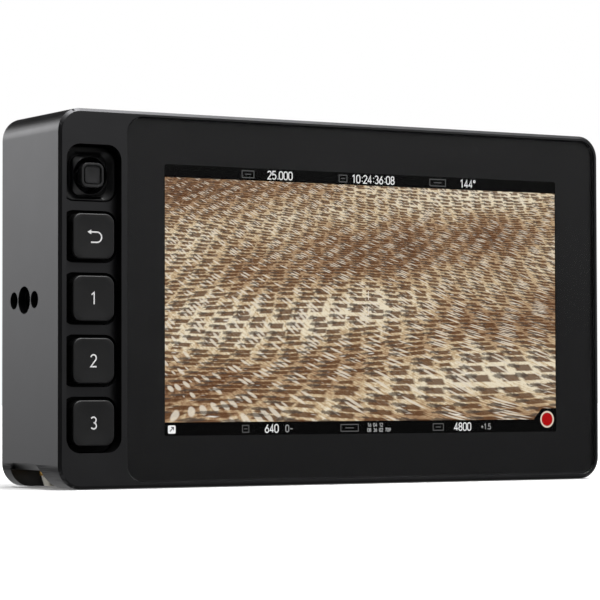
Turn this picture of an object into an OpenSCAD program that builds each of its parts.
// On-camera field monitor with a 5-inch screen, four keys and a small joystick.
// The origin is the middle of the bottom face. The screen faces -Y, +X is right as seen from the
// front and +Z is up. A depth, as in the names that end in _d, is measured back from the front face.

/* [Body] */
// Width of the body
body_w = 151; // [150:0.5:165]
// Height of the body
body_h = 86.2; // [86:0.2:96]
// Depth of the body, front to back
body_d = 31; // [30.5:0.5:38]
// Radius of the four long corners
corner_r = 5.4; // [5:0.1:6.5]
// Thickness of the side walls
wall = 1.75; // [1.5:0.05:1.8]
// Thickness of the front wall
front_t = 4.1; // [3.9:0.1:4.6]
// Chamfer round the front edge
front_c = 0.7; // [0.3:0.1:1]
// Chamfer round the rear edge
rear_c = 0.5; // [0.2:0.1:0.8]

/* [Screen] */
// Distance from the picture to the left side of the body
margin_left = 27.4; // [27.2:0.1:29]
// Distance from the picture to the right side of the body
margin_right = 12.9; // [12.8:0.1:15]
// Distance from the picture to the top and to the bottom of the body
margin_top = 11.95; // [11.9:0.05:14]
// Rim of the housing that shows round the cover glass
rim_w = 1.2; // [1:0.05:1.5]
// Gap round the cover glass
glass_gap = 0.25; // [0.1:0.05:0.4]
// Rib of the housing between the key slot and the cover glass
rib_w = 1.35; // [1:0.05:2]
// Thickness of the cover glass
glass_t = 1.3; // [0.8:0.1:1.4]
// Thickness of the adhesive tape behind the cover glass
tape_t = 0.3; // [0.2:0.05:0.5]
// Border of the display panel round the picture, at the sides
panel_side = 3.65; // [2.5:0.05:3.8]
// Border of the display panel round the picture, above and below
panel_top = 4.1; // [3:0.1:4.2]
// Thickness of the display panel
panel_t = 1.6; // [1.2:0.1:2]
// Thickness of the backlight tray
tray_t = 3; // [2:0.1:3.2]

/* [Keys] */
// Distance of the key column's centre from the left side
key_inset = 8.75; // [8.7:0.05:9.2]
// Width of a key
key_w = 10.5; // [8:0.1:12.5]
// Height of a key
key_h = 10.3; // [8:0.1:11.3]
// Corner radius of a key
key_r = 2.2; // [1:0.1:3]
// Distance from one key to the next
key_pitch = 14.1; // [13.6:0.1:14.4]
// How far a key's face lies below the front face
key_sink = 0.15; // [0.05:0.05:0.4]
// Travel of a key
key_travel = 0.5; // [0.2:0.05:0.6]
// Width of the slot that the keys stand in
slot_w = 13.9; // [13.2:0.1:13.9]
// Height of the slot
slot_h = 70; // [69:0.5:72]
// Corner radius of the slot
slot_r = 3.5; // [3:0.1:5]
// Depth of the slot down to its cross bars
slot_deep = 2.6; // [2:0.1:2.8]
// Height of the hole round each key, between the bars
hole_h = 11.9; // [11.6:0.1:12.4]
// Corner radius of those holes
hole_r = 3; // [1.5:0.1:4]

/* [Joystick] */
// Width of the square cap
cap_w = 5.6; // [5:0.1:5.7]
// Corner radius of the cap
cap_r = 1.6; // [1.5:0.1:2.2]
// Width of the cap's middle
cap_mid_w = 3.9; // [3:0.1:4]
// How far the cap's rim lies below the front face
cap_sink = 0.7; // [0.4:0.05:0.8]
// Radius of the round opening under the cap
neck_r = 4.12; // [4.05:0.01:4.2]
// Width of the raised ring round that opening
boss_w = 8.9; // [8.8:0.1:9.4]
// Height of that ring
boss_h = 9.4; // [8.8:0.1:9.6]
// Distance of the joystick below the next place in the key column
stick_drop = 0.2; // [0:0.05:0.3]
// Depth of the point that the joystick tilts about
pivot_d = 8; // [7.9:0.05:8.1]
// Travel of the joystick when pressed
stick_travel = 0.4; // [0.2:0.05:0.45]
// Radius of the stick
stem_r = 1; // [0.8:0.05:1.1]

/* [Mounting points] */
// Radius of the threaded hole for a 1/4 inch screw, at the thread's crest
thread_r = 2.6; // [2.4:0.05:3]
// Radius of that hole's clear mouth through the wall
mouth_r = 3.2; // [3.1:0.05:3.3]
// Radius of the locating pin holes
pin_r = 2; // [1.5:0.05:2.1]
// Distance of a pin hole from the threaded hole
pin_off = 5.5; // [5.4:0.05:5.8]
// Depth of the mounting points behind the front face
mount_d = 18.5; // [18.4:0.1:18.7]
// Thickness of the steel blocks that hold the threads
block_t = 7.25; // [6:0.25:7.5]
// Distance between the rear bracket holes, across
bracket_x = 76; // [70:1:80]
// Distance between the rear bracket holes, up
bracket_z = 50; // [44:1:54]
// Radius of the rear bracket holes
bracket_r = 1.25; // [1:0.05:1.6]

/* [Connector bay] */
// Width of the bay, from the left side
bay_w = 61.5; // [60:0.5:62]
// Width of its low part beside the left side
low_w = 15; // [14.5:0.5:16]
// Height of the low part
low_h = 4; // [3.6:0.1:4.2]
// Height of the high part
high_h = 10.2; // [9.8:0.1:10.4]
// Height of the opening in the left side
side_h = 5.6; // [5.2:0.1:6]
// Depth at which the bay starts
bay_d0 = 8.5; // [8.5:0.1:9]
// Depth at which the bay ends
bay_d1 = 26.2; // [25.5:0.1:26.2]
// Thickness of the bay's walls
bay_wall = 1.5; // [1.2:0.1:1.6]
// Distance of the power inlet from the left side
inlet_x = 8.3; // [8:0.1:8.6]
// Depth of the power inlet's axis
inlet_d = 16.5; // [16:0.1:17]
// Radius of the power inlet's nut
inlet_r = 4.7; // [4.2:0.1:4.8]
// Radius of a video jack's shell
jack_r = 4.8; // [4.5:0.05:4.85]
// Distance between the two video jacks
jack_pitch = 20; // [17:0.5:20]

/* [Inside] */
// Thickness of the rear cover
cover_t = 2.5; // [2:0.1:2.8]
// Thickness of the rear cover's seal
seal_t = 0.8; // [0.6:0.1:1]
// Height of the posts that carry the key board
post_h = 4.5; // [4.4:0.1:4.8]
// Thickness of the key board
key_board_t = 1.2; // [1:0.1:1.2]
// Thickness of the chassis plate
midframe_t = 1.6; // [1.2:0.1:1.6]
// Height of the main board's standoffs
standoff_h = 4.1; // [3.8:0.1:4.4]
// Thickness of the main board and the connector board
board_t = 1.6; // [1.2:0.1:1.6]
// Side of the fan's square case
fan_w = 34; // [30:0.5:34]
// Number of fan blades
blade_count = 11; // [7:1:15]
// Number of heat sink fins
fin_count = 12; // [6:1:14]
// Radius of the small screws in the boards
screw_r = 0.8; // [0.7:0.05:0.9]
// Radius of the rear cover's screws
cover_screw_r = 1.2; // [1:0.05:1.25]

/* [Hidden] */
$fn = 48;
eps = 0.01;
running = 0.05;
snug = 0.02;
part_gap = 0.2;

black_metal = [0.13, 0.13, 0.14];
black_plastic = [0.1, 0.1, 0.105];
board_green = [0.07, 0.2, 0.14];
nickel = [0.8, 0.8, 0.78];
gold = [0.83, 0.66, 0.25];
steel = [0.55, 0.56, 0.58];

// Body
side_x = body_w/2;
mid_z = body_h/2;
inner_w = body_w - 2*wall;
inner_h = body_h - 2*wall;
inner_r = corner_r - wall;
inner_x = inner_w/2;
inner_top = body_h - wall;
key_x = key_inset - side_x;

// Screen, in depths from the front face
screen_w = body_w - margin_left - margin_right;
screen_h = body_h - 2*margin_top;
screen_x = (margin_left - margin_right)/2;
glass_x0 = key_x + slot_w/2 + rib_w + glass_gap;
glass_x1 = side_x - rim_w - glass_gap;
glass_w = glass_x1 - glass_x0;
glass_h = body_h - 2*(rim_w + glass_gap);
glass_x = (glass_x0 + glass_x1)/2;
glass_r = corner_r - rim_w - glass_gap;
pocket_d = glass_t + tape_t;
panel_w = screen_w + 2*panel_side;
panel_h = screen_h + 2*panel_top;
panel_x0 = screen_x - panel_w/2;
panel_z0 = mid_z - panel_h/2;
window_gap = 0.4;
films_t = 0.5;
films_d = glass_t + panel_t;
tray_d = films_d + films_t;
tray_rim = 3;
led_board_d = tray_d + tray_t;
led_board_t = 1.2;
led_back = led_board_d + led_board_t;
led_w = 3;
led_t = 0.6;
led_cols = 8;
led_rows = 5;

// Keys
key_zs = [for (i = [-2:2]) mid_z + i*key_pitch - (i == 2 ? stick_drop : 0)];
stick_z = key_zs[4];
flange_w = slot_w - 1;
flange_h = key_pitch - 0.9;
flange_t = 0.9;
flange_d = front_t + 0.15;
key_board_d = front_t + post_h;
switch_h = 2.5;
switch_w = 6.2;
switch_d = key_board_d - switch_h;
plunger_r = 1.5;
plunger_d = switch_d + 0.4;
key_board_x0 = key_x - slot_w/2 + 0.5;
key_board_x1 = panel_x0 - 1.85;
key_board_z0 = high_h + bay_wall + part_gap;
key_tab_z0 = side_h + bay_wall + 1.9;
key_board_z1 = stick_z + 6;

// Joystick
bezel_gap = 0.3;
bezel_w = slot_w - 2*bezel_gap;
bezel_h = hole_h - 2*bezel_gap;
bezel_r = hole_r - bezel_gap;
bezel_d = slot_deep + 0.1;
bezel_lip = 0.2;
moat_slope = 0.9;
moat_d = bezel_d + 0.7;
boss_d = 2;
boss_edge_d = 2.6;
boss_r = 2.3;
boss_rim = 0.15;
cap_t = 1.8;
cap_rim = 0.55;
cap_groove = 0.7;
cap_mid_sink = 0.3;
stem_top_r = 1.5;
stem_seat = 0.6;
yoke_r = 1.9;
yoke_h = 2.8;
ring_in = 2.6;
ring_out = 3.5;
ring_h = 1.6;
base_w = 9.6;
base_in = 4.2;
base_d = pivot_d - 2.1;
base_end = pivot_d + 3;
base_floor = 0.6;
trunnion_r = 0.45;

// Posts and plates behind the display
post_r = 2.4;
left_post_x = panel_x0 - 4.25;
right_post_x = screen_x + panel_w/2 + 3.95;
post_zs = [mid_z - 21.1, mid_z + 20.9];
midframe_d = key_board_d + key_board_t;
midframe_back = midframe_d + midframe_t;
midframe_x0 = panel_x0 + 0.55;
midframe_x1 = screen_x + panel_w/2 - 0.05;
midframe_z1 = inner_top - block_t - 0.2;
rest_w = 3;
ear_h = 5.2;
ear_over = 2.6;
main_d = midframe_back + standoff_h;
main_back = main_d + board_t;
main_x0 = 17.5 - side_x;
main_x1 = inner_x - block_t - 0.7;
main_z0 = 20;
main_z1 = midframe_z1 - 1;
main_step_x = 12;
main_low_z = 9.5;
standoff_x0 = main_x0 + 10;
standoff_x1 = main_x1 - 21.8;
standoff_xz = [[standoff_x0, main_z1 - 4], [standoff_x0, main_z0 + 4], [standoff_x1, main_z1 - 4],
    [standoff_x1, main_low_z + 4.5]];
head_r = 1.9;
head_h = 1.1;

// Rear cover
cover_d = body_d - cover_t;
ledge_d = cover_d - seal_t;
ledge_t = 0.8;
ledge_w = 1.6;
cover_gap = 0.15;
cover_post_r = 3.4;
cover_post_in = 3.2;
cover_post_d = midframe_back + 0.6;
corner_post_d = 21.2;
cover_post_x = inner_x - cover_post_in;
cover_top_z = inner_top - cover_post_in;
cover_low_z = wall + cover_post_in;
cover_mid_x = 30;
low_post_z = side_h + bay_wall + cover_post_in;
cover_xz = [[-cover_post_x, cover_top_z], [cover_mid_x, cover_top_z], [cover_post_x, cover_top_z],
    [cover_post_x, cover_low_z], [cover_mid_x, cover_low_z]];
all_cover_xz = concat(cover_xz, [[-cover_post_x, low_post_z]]);
cover_head_r = 2.1;
cover_head_h = 1.2;
cover_screw_len = 6;
bracket_mid_z = mid_z + 2.9;
vent_h = 1.6;
vent_pitch = 3.2;

// Connector bay
low_x1 = low_w - side_x;
bay_x1 = bay_w - side_x;
bay_arc_r = 5.5;
bay_arc_d = bay_d0 + bay_arc_r;
bay_rear_r = 1.8;
high_d0 = bay_d0 + 1.1;
bay_mid_d = (high_d0 + bay_d1)/2;
conn_z = 15;
conn_x0 = 0.55 - inner_x;
conn_x1 = bay_x1 - 2;
conn_d0 = midframe_back + 1;
conn_d1 = ledge_d - ledge_t - 0.3;
power_x = inlet_x - side_x;
inlet_bore = 3.25;
inlet_core_r = 3.2;
inlet_face_z = 2.2;
inlet_low_z = 0.3;
washer_t = 1.2;
jack_xs = [low_x1 + 12.5, low_x1 + 12.5 + jack_pitch];
jack_low_z = 1.2;
jack_in = 4;
jack_deep_z = 8.7;
jack_core_r = 2.35;
jack_pin_r = 0.6;
conn_post_xs = [(jack_xs[0] + jack_xs[1])/2, bay_x1 - 4.5];

// Mounting points
mount_z = mid_z;
block_w = 9;
block_side = pin_off + pin_r + 0.8;
pin_deep = 5;

// Sockets on the right side, the bottom and the top
port_x1 = side_x - 0.2;
port_gap = 0.2;
usb_z = 14.2;
usb_w = 9;
usb_t = 3.3;
usb_len = 13.3;
hdmi_z = (usb_z + usb_w/2 + mount_z - block_w/2)/2;
hdmi_w = 14.9;
hdmi_t = 5.6;
hdmi_len = 14;
card_z = mount_z + 21.4;
card_w = 25;
card_t = 2.9;
card_len = 28;
phone_w = 8;
phone_x = port_x1 - usb_len - phone_w/2 - 4;
phone_t = 6;
phone_r = 1.8;
phone_nose_r = 3;
phone_top = 15;
button_x = -36;
button_r = 2.95;
button_d = main_back + 1.8;
button_sink = 0.1;
button_travel = 0.5;
button_switch_z = main_z1 + 1;
button_stem_r = 1.4;

// Main board parts
chip_x = 12;
chip_z = mid_z + 6.9;
chip_w = 15;
chip_t = 2;
pad_t = 0.5;
sink_w = 36;
sink_h = 34;
sink_d = main_back + chip_t + pad_t;
sink_base_t = 2;
fin_t = 0.9;
sink_end = cover_d - 0.9;
fan_x = -24;
fan_z = chip_z;
fan_d = main_back + 2.3;
fan_end = cover_d - 1.1;
fan_wall = 1;
fan_cavity_r = fan_w/2 - 2.5;
fan_in_r = 11.5;
blade_r = fan_cavity_r - 1.7;
hub_r = 6;
shaft_r = 1;
lcd_flex_x = 19;
lcd_flex_w = 10;
touch_z = mid_z + 1.9;
touch_w = 8;
key_flex_z = mid_z + 8.9;
key_flex_w = 8;
flex_t = 0.2;
memory_w = 9;
memory_h = 11;
memory_t = 1.1;
memory_x = chip_w/2 + 5.5;
memory_z = 8;
coil_w = 6;
coil_t = 3;
coil_pitch = 8;
can_r = 2.5;
can_h = 5;
socket_w = 3;
touch_x0 = main_x0 + 10;
touch_x1 = touch_x0 + 8;
plug_w = 3.8;
plug_h = 5;
plug_t = 4;
fan_lead_len = 3.2;
fan_lead_z = fan_z - 10;
cell_r = 6.2;
cell_t = 3.2;
link_x0 = bay_x1 - 28;
link_w = 20;
touch_socket_d = midframe_back + 0.8;
key_socket_d = main_d - 2;

// Extrudes a front-view outline from depth d0 to depth d1
module slab(d0, d1) {
    translate([0, d1 - body_d/2, 0]) rotate([90, 0, 0]) linear_extrude(d1 - d0) children();
}

// Box given by its limits across, in depth and in height
module block(xs, ds, zs) {
    translate([xs[0], ds[0] - body_d/2, zs[0]]) cube([xs[1] - xs[0], ds[1] - ds[0], zs[1] - zs[0]]);
}

// Round bars along Y, X and Z
module bar_y(x, z, r, d0, d1) {
    translate([x, d1 - body_d/2, z]) rotate([90, 0, 0]) cylinder(r = r, h = d1 - d0);
}

module bar_x(x0, x1, d, z, r) {
    translate([x0, d - body_d/2, z]) rotate([0, 90, 0]) cylinder(r = r, h = x1 - x0);
}

module bar_z(x, d, r, z0, z1, r_top = -1) {
    translate([x, d - body_d/2, z0]) cylinder(r1 = r, r2 = r_top < 0 ? r : r_top, h = z1 - z0);
}

// Rectangle with round corners, centred on (x, z)
module round_rect(x, z, w, h, r) {
    translate([x, z]) {
        square([w - 2*r, h], center = true);
        square([w, h - 2*r], center = true);
        for (sx = [-1, 1], sz = [-1, 1])
            translate([sx*(w/2 - r), sz*(h/2 - r)]) circle(r);
    }
}

// Plate with round corners that narrows by c over its height c
module chamfer_plate(w, h, r, c) {
    for (sx = [-1, 1], sy = [-1, 1])
        translate([sx*(w/2 - r), sy*(h/2 - r), 0]) cylinder(r1 = r, r2 = r - c, h = c);
    rotate([90, 0, 90]) translate([0, 0, r - w/2]) linear_extrude(w - 2*r)
        polygon([[-h/2, 0], [h/2, 0], [h/2 - c, c], [c - h/2, c]]);
    rotate([90, 0, 0]) translate([0, 0, r - h/2]) linear_extrude(h - 2*r)
        polygon([[-w/2, 0], [w/2, 0], [w/2 - c, c], [c - w/2, c]]);
}

// Solid block with the body's outer shape
module body_solid() {
    slab(front_c, body_d - rear_c) round_rect(0, mid_z, body_w, body_h, corner_r);
    translate([0, front_c - body_d/2, mid_z]) rotate([90, 0, 0])
        chamfer_plate(body_w, body_h, corner_r, front_c);
    translate([0, body_d/2 - rear_c, mid_z]) rotate([-90, 0, 0])
        chamfer_plate(body_w, body_h, corner_r, rear_c);
}

module inner_outline(inset = 0) {
    round_rect(0, mid_z, inner_w - 2*inset, inner_h - 2*inset, inner_r - inset);
}

module glass_outline(grow = 0) {
    round_rect(glass_x, mid_z, glass_w + 2*grow, glass_h + 2*grow, glass_r + grow);
}

module panel_outline(grow = 0) {
    translate([screen_x, mid_z]) square([panel_w + 2*grow, panel_h + 2*grow], center = true);
}

// Cross bars of the key slot, with the holes for the keys and the joystick between them
module key_bars() {
    difference() {
        block([key_x - slot_w/2 - 0.5, key_x + slot_w/2 + 0.5], [slot_deep, front_t],
            [key_zs[0], key_zs[4]]);
        slab(slot_deep - 1, front_t + 1)
            for (z = key_zs) round_rect(key_x, z, slot_w, hole_h, hole_r);
    }
}

// Profile of the bay's opening in the left side, as depth against height
module side_profile(top) {
    intersection() {
        union() {
            translate([bay_arc_d, side_h - bay_arc_r]) circle(bay_arc_r);
            translate([bay_arc_d, -2]) square([bay_d1 - bay_arc_d - bay_rear_r, side_h + 2]);
            translate([bay_arc_d, -2]) square([bay_d1 - bay_arc_d, side_h + 2 - bay_rear_r]);
            translate([bay_arc_d - bay_arc_r, -2]) square([bay_arc_r, side_h + 2 - bay_arc_r]);
            translate([bay_d1 - bay_rear_r, side_h - bay_rear_r]) circle(bay_rear_r);
        }
        translate([0, -2]) square([body_d, top + 2]);
    }
}

// Extrudes a profile of depth against height along X
module along_x(x0, x1) {
    translate([x0, -body_d/2, 0]) rotate([90, 0, 90]) linear_extrude(x1 - x0) children();
}

module bay_solid() {
    intersection() {
        slab(0.1 + front_t, ledge_d) round_rect(0, mid_z, body_w - 0.2, body_h - 0.2, corner_r - 0.1);
        union() {
            block([-side_x, low_x1], [bay_d0 - bay_wall, ledge_d], [0, side_h + bay_wall]);
            block([low_x1 - bay_wall, bay_x1 + bay_wall], [high_d0 - bay_wall, ledge_d],
                [0, high_h + bay_wall]);
        }
    }
    for (x = conn_post_xs) bar_z(x, bay_mid_d, 2.2, high_h + bay_wall - eps, conn_z);
}

module bay_cut() {
    bevel = side_h - low_h;
    along_x(bevel - side_x, low_x1 + eps) side_profile(low_h);
    hull() {
        along_x(-side_x - 0.5, -side_x) side_profile(side_h);
        along_x(bevel - side_x, bevel - side_x + eps) side_profile(low_h);
    }
    block([low_x1, bay_x1], [high_d0, bay_d1], [-1, high_h]);
    bar_z(power_x, inlet_d, inlet_bore + 0.05, 0, side_h + bay_wall + 1);
    for (x = jack_xs) bar_z(x, bay_mid_d, jack_r + 0.1, 0, high_h + bay_wall + 1);
    for (x = conn_post_xs) bar_z(x, bay_mid_d, screw_r + snug, high_h + bay_wall - 0.5, conn_z + 1);
}

// The three holes of a mounting point, cut along Z from its outer face at z = 0 downwards
module mount_holes(mid_r, deep, pin_depth) {
    translate([0, 0, -deep]) cylinder(r = mid_r, h = deep + 1);
    for (s = [-1, 1]) translate([s*pin_off, 0, -pin_depth]) cylinder(r = pin_r, h = pin_depth + 1);
}

// Places a child drawn with its outward side up on the left, right, top or bottom face
module on_left() { translate([-side_x, mount_d - body_d/2, mount_z]) rotate([0, -90, 0])
    rotate([0, 0, 90]) children(); }
module on_right() { translate([side_x, mount_d - body_d/2, mount_z]) rotate([0, 90, 0])
    rotate([0, 0, 90]) children(); }
module on_top() { translate([0, mount_d - body_d/2, body_h]) children(); }
module on_bottom() { translate([0, mount_d - body_d/2, 0]) rotate([180, 0, 0]) children(); }

module mount_block() {
    color(steel) difference() {
        translate([-block_side, -block_w/2, -wall - block_t]) cube([2*block_side, block_w, block_t]);
        mount_holes(thread_r, wall + block_t - 0.75, wall + pin_deep);
    }
}

module port_holes() {
    block([inner_x - 1, side_x + 1], [main_back - port_gap, main_back + hdmi_t + port_gap],
        [hdmi_z - hdmi_w/2 - port_gap, hdmi_z + hdmi_w/2 + port_gap]);
    block([inner_x - 1, side_x + 1], [main_back - port_gap, main_back + usb_t + port_gap],
        [usb_z - usb_w/2 - port_gap, usb_z + usb_w/2 + port_gap]);
    block([inner_x - 1, side_x + 1], [main_back - port_gap, main_back + card_t + port_gap],
        [card_z - card_w/2 - port_gap, card_z + card_w/2 + port_gap]);
    bar_z(phone_x, main_back + phone_t/2, phone_nose_r + 0.15, -1, wall + 1);
    bar_z(button_x, button_d, button_r + running, inner_top - 1, body_h + 1);
}

module housing() {
    color(black_metal) difference() {
        union() {
            difference() {
                body_solid();
                slab(front_t, body_d + 1) inner_outline();
                slab(-1, front_t + 1) round_rect(key_x, mid_z, slot_w, slot_h, slot_r);
            }
            key_bars();
            slab(ledge_d - ledge_t, ledge_d) difference() {
                inner_outline(-0.3);
                inner_outline(ledge_w);
            }
            for (p = cover_xz) bar_y(p[0], p[1], cover_post_r, cover_post_d, ledge_d);
            bar_y(-cover_post_x, low_post_z, cover_post_r, corner_post_d, ledge_d);
            for (z = post_zs) {
                bar_y(left_post_x, z, post_r, front_t - eps, key_board_d);
                bar_y(right_post_x, z, post_r, front_t - eps, midframe_d);
            }
            bay_solid();
        }
        slab(-1, pocket_d) glass_outline(glass_gap);
        slab(pocket_d - eps, front_t + 1) panel_outline(window_gap);
        bay_cut();
        on_left() mount_holes(mouth_r, wall + eps, wall + eps);
        on_right() mount_holes(mouth_r, wall + eps, wall + eps);
        on_top() mount_holes(mouth_r, wall + eps, wall + eps);
        on_bottom() mount_holes(mouth_r, wall + eps, wall + eps);
        port_holes();
        for (p = all_cover_xz)
            bar_y(p[0], p[1], cover_screw_r + snug, ledge_d - cover_screw_len, ledge_d + 1);
        for (z = post_zs, x = [left_post_x, right_post_x])
            bar_y(x, z, screw_r + snug, front_t + 1, midframe_d + 1);
    }
}

// Rows of slots that a circle or a box cuts to length
module vent_rows(x, z, w, h) {
    rows = floor(h/vent_pitch/2);
    for (i = [-rows:rows]) translate([x, z + i*vent_pitch]) square([w, vent_h], center = true);
}

module rear_cover() {
    pad_h = seal_t;
    color(black_metal) difference() {
        union() {
            slab(cover_d, body_d) inner_outline(cover_gap);
            for (p = all_cover_xz) bar_y(p[0], p[1], cover_screw_r + 0.5, cover_d - pad_h, cover_d + eps);
        }
        for (p = all_cover_xz) {
            bar_y(p[0], p[1], cover_screw_r + 0.1, cover_d - pad_h - 1, body_d + 1);
            bar_y(p[0], p[1], cover_head_r + 0.1, body_d - cover_head_h - 0.1, body_d + 1);
        }
        for (sx = [-1, 1], sz = [-1, 1])
            bar_y(sx*bracket_x/2, bracket_mid_z + sz*bracket_z/2, bracket_r, cover_d - 1, body_d + 1);
        slab(cover_d - 1, body_d + 1) intersection() {
            vent_rows(fan_x, fan_z, 2*fan_in_r + 2, 2*fan_in_r);
            translate([fan_x, fan_z]) circle(fan_in_r + 1);
        }
        slab(cover_d - 1, body_d + 1) vent_rows(chip_x, chip_z, sink_w - 10, 2*fan_in_r);
    }
}

module rear_seal() {
    color([0.2, 0.2, 0.2]) slab(ledge_d, cover_d) difference() {
        inner_outline(0.25);
        inner_outline(ledge_w - 0.4);
    }
}

module cover_screws() {
    color(steel) for (p = all_cover_xz) difference() {
        union() {
            bar_y(p[0], p[1], cover_screw_r, ledge_d - cover_screw_len + 0.5, body_d - cover_head_h);
            bar_y(p[0], p[1], cover_head_r, body_d - cover_head_h - 0.1 + eps, body_d - 0.15);
        }
        translate([p[0], body_d/2 - 0.1, p[1]]) rotate([90, 0, 0]) cylinder(r = 0.9, h = 0.7, $fn = 6);
    }
}

module cover_glass() { color([0.06, 0.06, 0.07]) slab(0, glass_t) glass_outline(); }

module glass_tape() {
    color("black") slab(glass_t, pocket_d) difference() {
        glass_outline(-0.3);
        panel_outline(window_gap + 0.3);
    }
}

module lcd_panel() { color([0.55, 0.48, 0.38]) slab(glass_t, films_d) panel_outline(); }
module diffuser_films() { color("white") slab(films_d, tray_d) panel_outline(-0.5); }

module backlight_tray() {
    color("white") slab(tray_d, led_board_d) difference() {
        panel_outline();
        panel_outline(-tray_rim);
    }
}

module led_board() { color(steel) slab(led_board_d, led_back) panel_outline(); }

module leds() {
    step_x = (panel_w - 4*tray_rim)/led_cols;
    step_z = (panel_h - 4*tray_rim)/led_rows;
    color([0.95, 0.9, 0.6]) slab(led_board_d - led_t, led_board_d)
        for (i = [0:led_cols - 1], j = [0:led_rows - 1])
            translate([screen_x + (i - (led_cols - 1)/2)*step_x, mid_z + (j - (led_rows - 1)/2)*step_z])
                square(led_w, center = true);
}

// Chassis plate with a rest for the display, ears on the housing's posts and standoffs behind
module midframe() {
    high_z0 = high_h + bay_wall + 2;
    low_z0 = panel_z0 + 1;
    rest_x = [midframe_x0 + 3, midframe_x1 - 4];
    rest_z = [high_z0 + 1.5, midframe_z1 - 4];
    color(steel) difference() {
        union() {
            block([midframe_x0, midframe_x1], [midframe_d, midframe_back], [high_z0, midframe_z1]);
            block([main_step_x, midframe_x1], [midframe_d, midframe_back], [low_z0, high_z0 + eps]);
            difference() {
                block(rest_x, [led_back, midframe_d + eps], rest_z);
                block([rest_x[0] + rest_w, rest_x[1] - rest_w], [led_back - 1, midframe_d + 1],
                    [rest_z[0] + rest_w, rest_z[1] - rest_w]);
            }
            for (z = post_zs) {
                block([left_post_x - ear_over, midframe_x0 + eps], [midframe_d, midframe_back],
                    [z - ear_h/2, z + ear_h/2]);
                block([midframe_x1 - eps, right_post_x + ear_over], [midframe_d, midframe_back],
                    [z - ear_h/2, z + ear_h/2]);
            }
            for (p = standoff_xz) bar_y(p[0], p[1], post_r, midframe_back - eps, main_d);
        }
        for (z = post_zs, x = [left_post_x, right_post_x])
            bar_y(x, z, screw_r + 0.3, midframe_d - 1, midframe_back + 1);
        for (p = standoff_xz) bar_y(p[0], p[1], screw_r + snug, midframe_d - 1, main_d + 1);
    }
}

// Small screw along Y with its head behind seat depth
module small_screw(x, z, seat, len) {
    difference() {
        union() {
            bar_y(x, z, screw_r, seat - len, seat + eps);
            bar_y(x, z, head_r, seat, seat + head_h);
        }
        bar_y(x, z, 0.5, seat + 0.4, seat + head_h + 1);
    }
}

module midframe_screws() {
    color(steel) for (z = post_zs) {
        small_screw(left_post_x, z, midframe_back, midframe_t + key_board_t + 2.5);
        small_screw(right_post_x, z, midframe_back, midframe_t + 3);
    }
}

// Key cap with the flange that holds it in and the plunger that presses its switch
module key(z) {
    color(black_plastic) {
        slab(key_sink, flange_d + eps) round_rect(key_x, z, key_w, key_h, key_r);
        slab(flange_d, flange_d + flange_t) round_rect(key_x, z, flange_w, flange_h, hole_r);
        bar_y(key_x, z, plunger_r, flange_d + flange_t - eps, plunger_d);
    }
}

module key_board() {
    color(board_green) difference() {
        union() {
            block([key_board_x0, key_board_x1], [key_board_d, midframe_d], [key_board_z0, key_board_z1]);
            block([key_board_x0, low_x1 - bay_wall - part_gap], [key_board_d, midframe_d],
                [key_tab_z0, key_board_z0 + eps]);
        }
        slab(key_board_d - 1, midframe_d + 1) translate([key_x, stick_z])
            square(base_w + 2*part_gap, center = true);
        for (z = post_zs) bar_y(left_post_x, z, screw_r + 0.3, key_board_d - 1, midframe_d + 1);
    }
}

module key_switches() {
    color([0.2, 0.2, 0.22]) for (i = [0:3]) difference() {
        slab(switch_d, key_board_d) translate([key_x, key_zs[i]]) square(switch_w, center = true);
        bar_y(key_x, key_zs[i], plunger_r + running, switch_d - 1, plunger_d + key_travel + 0.3);
    }
}

// Outline of the joystick's surround, drawn in by an inset
module bezel_outline(inset = 0) {
    round_rect(key_x, stick_z, bezel_w - 2*inset, bezel_h - 2*inset, bezel_r - inset, $fn = 32);
}

// Surround with a raised ring round the opening that the joystick stands in, and a moat round the ring
module joystick_bezel() {
    color(black_plastic) difference() {
        union() {
            difference() {
                slab(bezel_d, front_t + eps) bezel_outline();
                hull() {
                    slab(bezel_d - eps, bezel_d) bezel_outline(bezel_lip);
                    slab(moat_d - eps, moat_d) bezel_outline(bezel_lip + moat_slope);
                }
            }
            slab(front_t, front_t + flange_t) round_rect(key_x, stick_z, flange_w, flange_h, hole_r);
            slab(boss_edge_d, front_t) round_rect(key_x, stick_z, boss_w, boss_h, boss_r, $fn = 32);
            hull() {
                slab(boss_edge_d, boss_edge_d + eps)
                    round_rect(key_x, stick_z, boss_w, boss_h, boss_r, $fn = 32);
                bar_y(key_x, stick_z, neck_r + boss_rim, boss_d, boss_d + eps);
            }
        }
        bar_y(key_x, stick_z, neck_r, boss_d - 1, front_t + flange_t + 1);
    }
}

module joystick_base() {
    color([0.25, 0.25, 0.27]) difference() {
        union() {
            slab(base_d, base_end) translate([key_x, stick_z]) square(base_w, center = true);
            slab(key_board_d - 0.8, key_board_d) translate([key_x, stick_z])
                square([base_w, base_w + 2.4], center = true);
        }
        bar_y(key_x, stick_z, base_in, base_d - 1, base_end - base_floor);
        bar_x(key_x - base_w, key_x + base_w, pivot_d, stick_z, trunnion_r + running);
    }
}

// Ring that tilts up and down on trunnions along X
module joystick_gimbal() {
    color(steel) difference() {
        union() {
            bar_y(key_x, stick_z, ring_out, pivot_d - ring_h/2, pivot_d + ring_h/2);
            for (s = [-1, 1]) {
                x = key_x + s*(ring_out + 0.5);
                bar_x(x - 0.6, x + 0.6, pivot_d, stick_z, trunnion_r);
            }
        }
        bar_y(key_x, stick_z, ring_in, pivot_d - ring_h, pivot_d + ring_h);
        bar_z(key_x, pivot_d, trunnion_r + running, stick_z - ring_out - 1, stick_z + ring_out + 1);
    }
}

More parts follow.
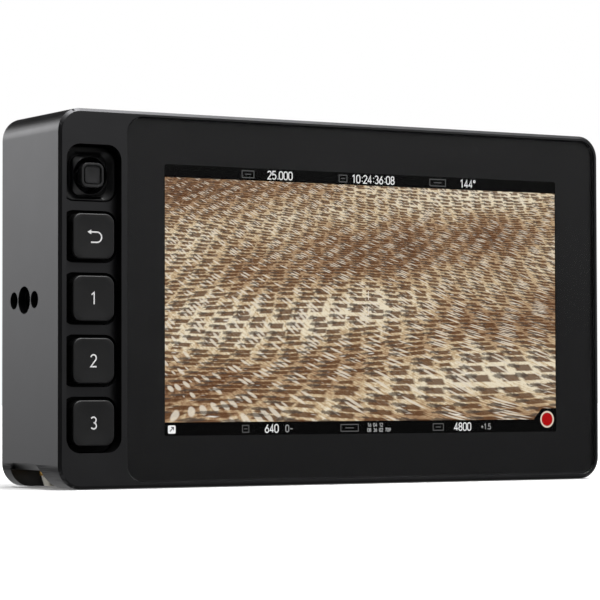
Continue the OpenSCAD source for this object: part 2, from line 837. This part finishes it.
// Sleeve that tilts sideways in the ring on trunnions along Z
module joystick_yoke() {
    color([0.3, 0.3, 0.32]) difference() {
        union() {
            bar_y(key_x, stick_z, yoke_r, pivot_d - yoke_h/2, pivot_d + yoke_h/2);
            bar_z(key_x, pivot_d, trunnion_r, stick_z - ring_out + 0.2, stick_z + ring_out - 0.2);
        }
        bar_y(key_x, stick_z, stem_r + running, pivot_d - yoke_h, pivot_d + yoke_h);
    }
}

module joystick_stem() {
    top_d = cap_sink + cap_t - stem_seat;
    shoulder_d = pivot_d - yoke_h/2 - stick_travel - 0.1;
    color([0.3, 0.3, 0.32]) {
        bar_y(key_x, stick_z, stem_top_r, top_d, shoulder_d);
        bar_y(key_x, stick_z, stem_r, shoulder_d - eps, base_end - base_floor - stick_travel - 0.2);
    }
}

module joystick_cap() {
    color(black_plastic) difference() {
        slab(cap_sink, cap_sink + cap_t) round_rect(key_x, stick_z, cap_w, cap_w, cap_r);
        slab(cap_sink - 1, cap_sink + cap_mid_sink)
            round_rect(key_x, stick_z, cap_w - 2*cap_rim, cap_w - 2*cap_rim, cap_r - cap_rim);
        slab(cap_sink - 1, cap_sink + cap_groove) difference() {
            round_rect(key_x, stick_z, cap_w - 2*cap_rim, cap_w - 2*cap_rim, cap_r - cap_rim);
            round_rect(key_x, stick_z, cap_mid_w, cap_mid_w, cap_r - cap_rim - 0.3);
        }
        bar_y(key_x, stick_z, stem_top_r, cap_sink + cap_t - stem_seat, cap_sink + cap_t + 1);
    }
}

// Ribbon from the key board's back to its socket on the main board
module key_flex() {
    x = main_x0 + 3;
    zs = [key_flex_z - key_flex_w/2, key_flex_z + key_flex_w/2];
    color([0.75, 0.5, 0.2]) {
        block([x - 6, x], [midframe_d, midframe_d + flex_t], zs);
        block([x - flex_t, x], [midframe_d, key_socket_d], zs);
    }
}

module main_board() {
    color(board_green) difference() {
        union() {
            block([main_x0, main_x1], [main_d, main_back], [main_z0, main_z1]);
            block([main_step_x, main_x1], [main_d, main_back], [main_low_z, main_z0 + eps]);
        }
        for (p = standoff_xz) bar_y(p[0], p[1], screw_r + 0.3, main_d - 1, main_back + 1);
    }
}

module board_screws() {
    color(steel) {
        for (p = standoff_xz) small_screw(p[0], p[1], main_back, board_t + 3);
        for (x = conn_post_xs) {
            bar_z(x, bay_mid_d, screw_r, high_h + bay_wall, conn_z + board_t + eps);
            bar_z(x, bay_mid_d, head_r, conn_z + board_t, conn_z + board_t + head_h);
        }
    }
}

module processor_chip() {
    color([0.15, 0.15, 0.16]) slab(main_back, main_back + chip_t) translate([chip_x, chip_z])
        square(chip_w, center = true);
}

module memory_chips() {
    color([0.12, 0.12, 0.12]) slab(main_back, main_back + memory_t)
        for (sx = [-1, 1], sz = [-1, 1]) translate([chip_x + sx*memory_x, chip_z + sz*memory_z])
            square([memory_w, memory_h], center = true);
}

// Coils, capacitors and ribbon sockets of the main board
module board_parts() {
    coil_x0 = main_x0 + 2;
    coil_z0 = chip_z - 2*coil_pitch;
    can_x = chip_x + sink_w/2 + 6;
    plug_x1 = fan_x - fan_w/2 - fan_lead_len;
    key_socket_h = key_flex_w + 1;
    color([0.3, 0.3, 0.32]) {
        for (i = [0:3]) {
            z = coil_z0 + i*coil_pitch;
            block([coil_x0, coil_x0 + coil_w], [main_back, main_back + coil_t], [z - coil_w/2, z + coil_w/2]);
            bar_y(can_x, z + coil_pitch/2, can_r, main_back, main_back + can_h);
        }
        block([lcd_flex_x - lcd_flex_w/2, lcd_flex_x + lcd_flex_w/2], [touch_socket_d + flex_t, main_d],
            [main_z0, main_z0 + socket_w]);
        block([touch_x0, touch_x1], [touch_socket_d + flex_t, main_d],
            [touch_z - touch_w/2, touch_z + touch_w/2]);
        block([main_x0 + 1, main_x0 + 1 + socket_w + 1], [key_socket_d, main_d],
            [key_flex_z - key_socket_h/2, key_flex_z + key_socket_h/2]);
        block([plug_x1 - plug_w, plug_x1], [main_back, main_back + plug_t],
            [fan_lead_z - plug_h/2, fan_lead_z + plug_h/2]);
    }
}

module clock_cell() { color(nickel) bar_y(fan_x - 4, fan_z + 12, cell_r, main_d - cell_t, main_d); }

module thermal_pad() {
    color([0.6, 0.65, 0.75]) slab(main_back + chip_t, sink_d) translate([chip_x, chip_z])
        square(chip_w - 1, center = true);
}

module heat_sink() {
    pitch = (sink_h - fin_t)/(fin_count - 1);
    xs = [chip_x - sink_w/2, chip_x + sink_w/2];
    color([0.35, 0.36, 0.38]) {
        block(xs, [sink_d, sink_d + sink_base_t], [chip_z - sink_h/2, chip_z + sink_h/2]);
        for (i = [0:fin_count - 1])
            block(xs, [sink_d + sink_base_t - eps, sink_end],
                [chip_z - sink_h/2 + i*pitch, chip_z - sink_h/2 + i*pitch + fin_t]);
    }
}

// Blower case with a round inlet at the back, an outlet towards the heat sink and a bearing tube
module fan_case() {
    h = fan_w/2;
    color([0.14, 0.14, 0.15]) {
        difference() {
            block([fan_x - h, fan_x + h], [fan_d, fan_end], [fan_z - h, fan_z + h]);
            bar_y(fan_x, fan_z, fan_cavity_r, fan_d + fan_wall, fan_end - fan_wall + eps);
            bar_y(fan_x, fan_z, fan_in_r, fan_end - fan_wall - 1, fan_end + 1);
            block([fan_x, fan_x + h + 1], [fan_d + fan_wall, fan_end - fan_wall],
                [fan_z - 8, fan_z + h - 2.5]);
        }
        difference() {
            bar_y(fan_x, fan_z, 2.2, fan_d + fan_wall - eps, fan_end - 3);
            bar_y(fan_x, fan_z, shaft_r + running, fan_d + fan_wall + 0.3, fan_end);
        }
        for (sx = [-1, 1], sz = [-1, 1])
            bar_y(fan_x + sx*(h - 2.5), fan_z + sz*(h - 2.5), 1.8, main_back, fan_d + eps);
    }
}

module fan_rotor() {
    hub_top = fan_end - 1.5;
    color([0.2, 0.2, 0.21]) {
        bar_y(fan_x, fan_z, hub_r, hub_top - 1, hub_top);
        difference() {
            bar_y(fan_x, fan_z, hub_r, fan_d + fan_wall + 0.8, hub_top - 1 + eps);
            bar_y(fan_x, fan_z, hub_r - 1, fan_d, hub_top - 1 - eps);
        }
        bar_y(fan_x, fan_z, shaft_r, fan_d + fan_wall + 0.5, hub_top - 1 + eps);
        for (i = [0:blade_count - 1])
            translate([fan_x, hub_top - 0.2 - body_d/2, fan_z]) rotate([90, 0, 0])
                rotate([0, 0, i*360/blade_count]) translate([hub_r - 0.3, 0, 0]) rotate([0, 0, 20])
                    translate([0, -0.4, 0]) cube([blade_r - hub_r, 0.8, 4.6]);
    }
}

module fan_lead() {
    color("firebrick") for (s = [-0.8, 0.8])
        bar_x(fan_x - fan_w/2 - fan_lead_len, fan_x - fan_w/2, main_back + 3.2, fan_lead_z + s, 0.6);
}

module connector_board() {
    color(board_green) difference() {
        block([conn_x0, conn_x1], [conn_d0, conn_d1], [conn_z, conn_z + board_t]);
        for (x = conn_post_xs) bar_z(x, bay_mid_d, screw_r + 0.3, conn_z - 1, conn_z + board_t + 1);
    }
}

// Power inlet: nickel nut with a tapered lip, gold washer and insulated core
module power_inlet_nut() {
    color(nickel) difference() {
        bar_z(power_x, inlet_d, inlet_r - 0.95, inlet_low_z, low_h - washer_t, inlet_r);
        bar_z(power_x, inlet_d, inlet_bore, inlet_low_z - 1, low_h + 1);
    }
}

module power_inlet_washer() {
    color(gold) difference() {
        bar_z(power_x, inlet_d, inlet_r + 0.15, low_h - washer_t, low_h);
        bar_z(power_x, inlet_d, inlet_bore, low_h - washer_t - 1, low_h + 1);
    }
}

module power_inlet_core() {
    color(black_plastic) {
        bar_z(power_x, inlet_d, inlet_core_r, inlet_face_z, side_h + bay_wall + eps);
        bar_z(power_x, inlet_d, inlet_core_r + 1.2, side_h + bay_wall, conn_z);
    }
}

// Gold contacts of the power inlet and of the video jacks
module contact_pins() {
    color(gold) {
        for (s = [-1, 1]) bar_z(power_x + s*1.3, inlet_d, 0.5, inlet_face_z - 1.2, inlet_face_z);
        for (x = jack_xs) bar_z(x, bay_mid_d, jack_pin_r, jack_low_z + 3, conn_z);
    }
}

// Video jack: round shell with two bayonet studs
module sdi_jack(x) {
    color(nickel) difference() {
        union() {
            bar_z(x, bay_mid_d, jack_r, jack_low_z, conn_z);
            translate([x, bay_mid_d - body_d/2, jack_low_z + 2.4]) rotate([90, 0, 0])
                cylinder(r = 1, h = 2*jack_r + 1.8, center = true);
        }
        bar_z(x, bay_mid_d, jack_in, jack_low_z - 1, jack_deep_z);
        bar_z(x, bay_mid_d, jack_core_r, jack_deep_z - 1, conn_z + 1);
    }
}

module sdi_washers() {
    color(gold) for (x = jack_xs) difference() {
        bar_z(x, bay_mid_d, jack_r + 1.4, high_h - 0.8, high_h);
        bar_z(x, bay_mid_d, jack_r + snug, high_h - 2, high_h + 1);
    }
}

module sdi_cores() {
    color("ivory") for (x = jack_xs) difference() {
        bar_z(x, bay_mid_d, jack_core_r - snug, jack_low_z + 2.4, conn_z);
        bar_z(x, bay_mid_d, jack_pin_r + snug, jack_low_z, conn_z + 1);
    }
}

module board_link() {
    color([0.15, 0.15, 0.15])
        block([link_x0, link_x0 + link_w], [conn_d0 + 0.6, main_d], [conn_z + board_t, main_z0 + 4]);
}

// Square-mouthed socket on the main board's back that opens to the right, with its tongue
module side_socket(z, w, t, len, skin, deep, tongue) {
    difference() {
        block([port_x1 - len, port_x1], [main_back, main_back + t], [z - w/2, z + w/2]);
        block([port_x1 - deep, port_x1 + 1], [main_back + skin, main_back + t - skin],
            [z - w/2 + skin, z + w/2 - skin]);
    }
    block([port_x1 - deep - eps, port_x1 - 1], [main_back + t/2 - tongue/2, main_back + t/2 + tongue/2],
        [z - w/2 + 3*skin, z + w/2 - 3*skin]);
}

module hdmi_socket() { color(nickel) side_socket(hdmi_z, hdmi_w, hdmi_t, hdmi_len, 0.5, 9, 1.2); }
module usb_socket() { color(nickel) side_socket(usb_z, usb_w, usb_t, usb_len, 0.35, 6.5, 0.7); }

module card_socket() {
    color(steel) difference() {
        block([port_x1 - card_len, port_x1], [main_back, main_back + card_t],
            [card_z - card_w/2, card_z + card_w/2]);
        block([port_x1 - card_len + 2, port_x1 + 1], [main_back + 0.3, main_back + card_t - 0.3],
            [card_z - card_w/2 + 0.4, card_z + card_w/2 - 0.4]);
    }
}

module headphone_jack() {
    d = main_back + phone_t/2;
    color(black_plastic) difference() {
        union() {
            block([phone_x - phone_w/2, phone_x + phone_w/2], [main_back, main_back + phone_t],
                [wall + 0.2, phone_top]);
            bar_z(phone_x, d, phone_nose_r, 0.3, wall + 1);
        }
        bar_z(phone_x, d, phone_r, -1, phone_top - 1.5);
    }
}

// Round button in the top face, with its flange and the stem down to the switch
module power_button() {
    flange_z = inner_top - 0.15;
    color(black_plastic) {
        bar_z(button_x, button_d, button_r, flange_z - eps, body_h - button_sink);
        bar_z(button_x, button_d, button_r + 0.8, flange_z - 1, flange_z);
        bar_z(button_x, button_d, button_stem_r, button_switch_z, flange_z - 1 + eps);
    }
}

module power_switch() {
    top = button_switch_z + 0.4;
    color([0.2, 0.2, 0.22]) difference() {
        block([button_x - 3, button_x + 3], [main_back, main_back + 3.6], [main_z1 - 4.5, top]);
        bar_z(button_x, button_d, button_stem_r + running, button_switch_z - button_travel - 0.2, top + 1);
    }
}

// Ribbon from the display panel's lower edge, under the chassis plate, up to the main board
module lcd_flex() {
    xs = [lcd_flex_x - lcd_flex_w/2, lcd_flex_x + lcd_flex_w/2];
    color([0.75, 0.5, 0.2]) {
        block(xs, [glass_t + 0.6, touch_socket_d + flex_t], [panel_z0 - flex_t, panel_z0]);
        block(xs, [touch_socket_d, touch_socket_d + flex_t], [panel_z0 - flex_t, main_z0 + socket_w]);
    }
}

// Ribbon from the cover glass, beside the display panel, to the main board
module touch_flex() {
    x = panel_x0 - 0.1;
    zs = [touch_z - touch_w/2, touch_z + touch_w/2];
    color([0.75, 0.5, 0.2]) {
        block([x - flex_t, x], [glass_t, touch_socket_d + flex_t], zs);
        block([x - flex_t, touch_x0 + 4], [touch_socket_d, touch_socket_d + flex_t], zs);
    }
}

housing();
rear_cover();
rear_seal();
cover_screws();
cover_glass();
glass_tape();
lcd_panel();
diffuser_films();
backlight_tray();
led_board();
leds();
midframe();
midframe_screws();
key(key_zs[3]);  // key_back
key(key_zs[2]);  // key_1
key(key_zs[1]);  // key_2
key(key_zs[0]);  // key_3
key_board();
key_switches();
joystick_bezel();
joystick_base();
joystick_gimbal();
joystick_yoke();
joystick_stem();
joystick_cap();
key_flex();
main_board();
board_screws();
processor_chip();
memory_chips();
board_parts();
clock_cell();
thermal_pad();
heat_sink();
fan_case();
fan_rotor();
fan_lead();
connector_board();
power_inlet_nut();
power_inlet_washer();
power_inlet_core();
contact_pins();
sdi_jack(jack_xs[0]);  // sdi_in_jack
sdi_jack(jack_xs[1]);  // sdi_out_jack
sdi_washers();
sdi_cores();
board_link();
hdmi_socket();
usb_socket();
headphone_jack();
card_socket();
power_button();
power_switch();
lcd_flex();
touch_flex();
on_left() mount_block();  // left_mount
on_right() mount_block();  // right_mount
on_top() mount_block();  // top_mount
on_bottom() mount_block();  // bottom_mount
